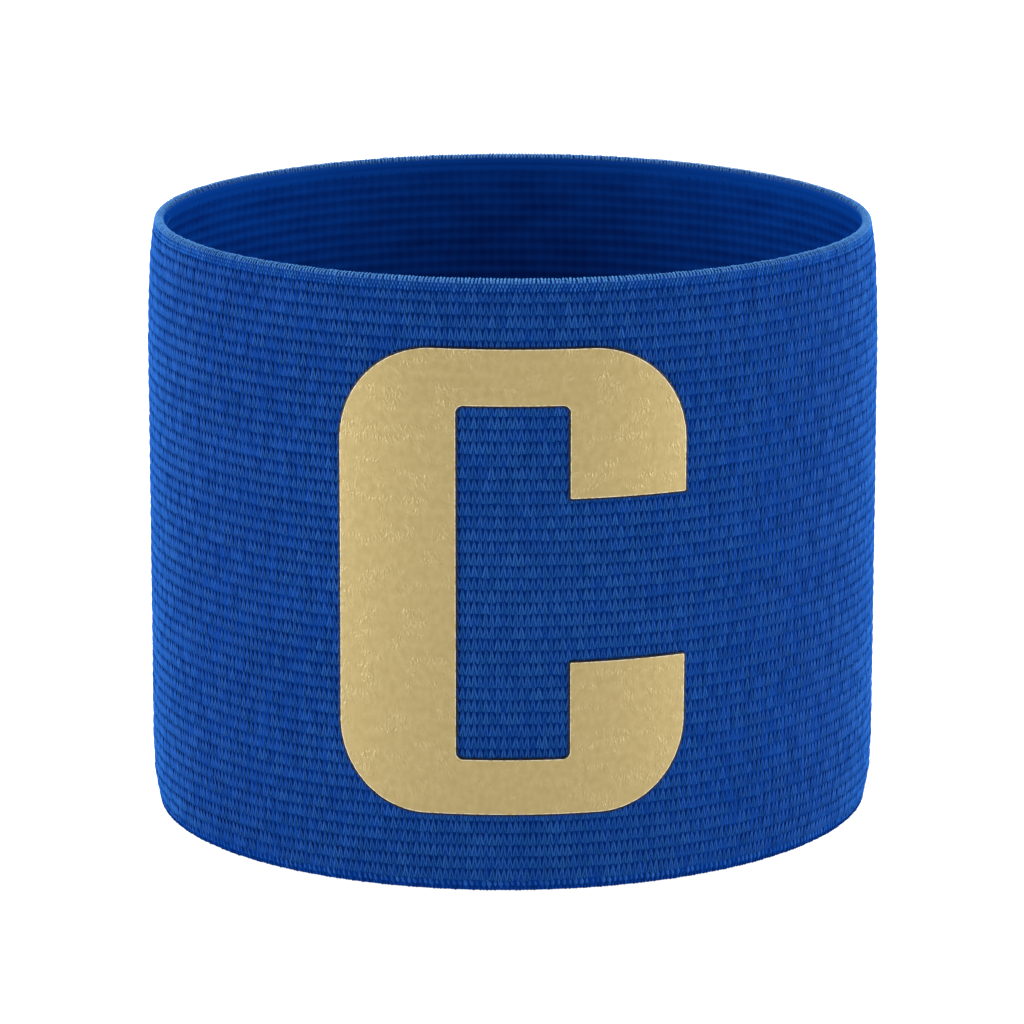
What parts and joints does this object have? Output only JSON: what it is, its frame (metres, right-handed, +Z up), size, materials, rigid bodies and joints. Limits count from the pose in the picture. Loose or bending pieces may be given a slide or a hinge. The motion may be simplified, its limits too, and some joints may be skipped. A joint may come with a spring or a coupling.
{
  "type": "captain armband",
  "caption": "Closed loop of ribbed knitted elastic, worn round the upper arm, with a plain block letter C of gold film on its front.",
  "frame": {"origin": "on the axis of the loop, in the plane of its lower edge", "axes": "+Z up along the axis of the loop, -Y out of the front through the middle of the letter, +X to the right of someone who faces the letter"},
  "size_m": [0.092, 0.0923, 0.075],
  "materials": {
    "elastic": "ribbed knitted elastic in royal blue, matt",
    "gold_film": "heat-pressed transfer film in pale gold, satin with a faint knit relief"
  },
  "bodies": {
    "root": {"elastic_band": "elastic", "letter_c": "gold_film"}
  },
  "joints": []
}
